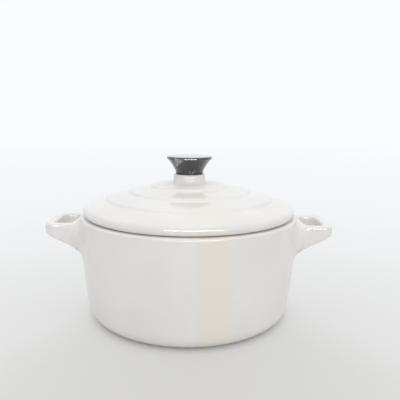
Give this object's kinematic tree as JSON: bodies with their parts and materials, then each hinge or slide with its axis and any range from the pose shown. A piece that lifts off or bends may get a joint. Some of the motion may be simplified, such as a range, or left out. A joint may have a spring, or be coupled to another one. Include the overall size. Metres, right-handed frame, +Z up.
{
  "type": "covered baking dish",
  "caption": "Small round glazed stoneware baking dish with looped ears and a lift-off stepped lid that carries a dark flared knob.",
  "frame": {"origin": "middle of the foot ring, on the plane that the dish stands on", "axes": "+X along the two ears, +Z up through the knob"},
  "size_m": [0.1338, 0.1024, 0.0761],
  "materials": {
    "white_glaze": "glossy white glaze",
    "charcoal_knob": "glossy charcoal, worn",
    "brass": "turned",
    "black_rubber": "matte",
    "steel": "turned stainless",
    "silicone": "matte translucent white"
  },
  "bodies": {
    "dish": {"dish": "white_glaze"},
    "lid": {"lid": "white_glaze", "knob": "charcoal_knob", "knob_insert": "brass", "knob_gasket": "black_rubber", "knob_screw": "steel", "steel_washer": "steel", "sealing_washer": "silicone"}
  },
  "joints": [
    {"name": "lid_lift", "type": "slide", "parent": "dish", "child": "lid", "axis": [0, 0, 1], "range_m": [0, 0.08]}
  ]
}
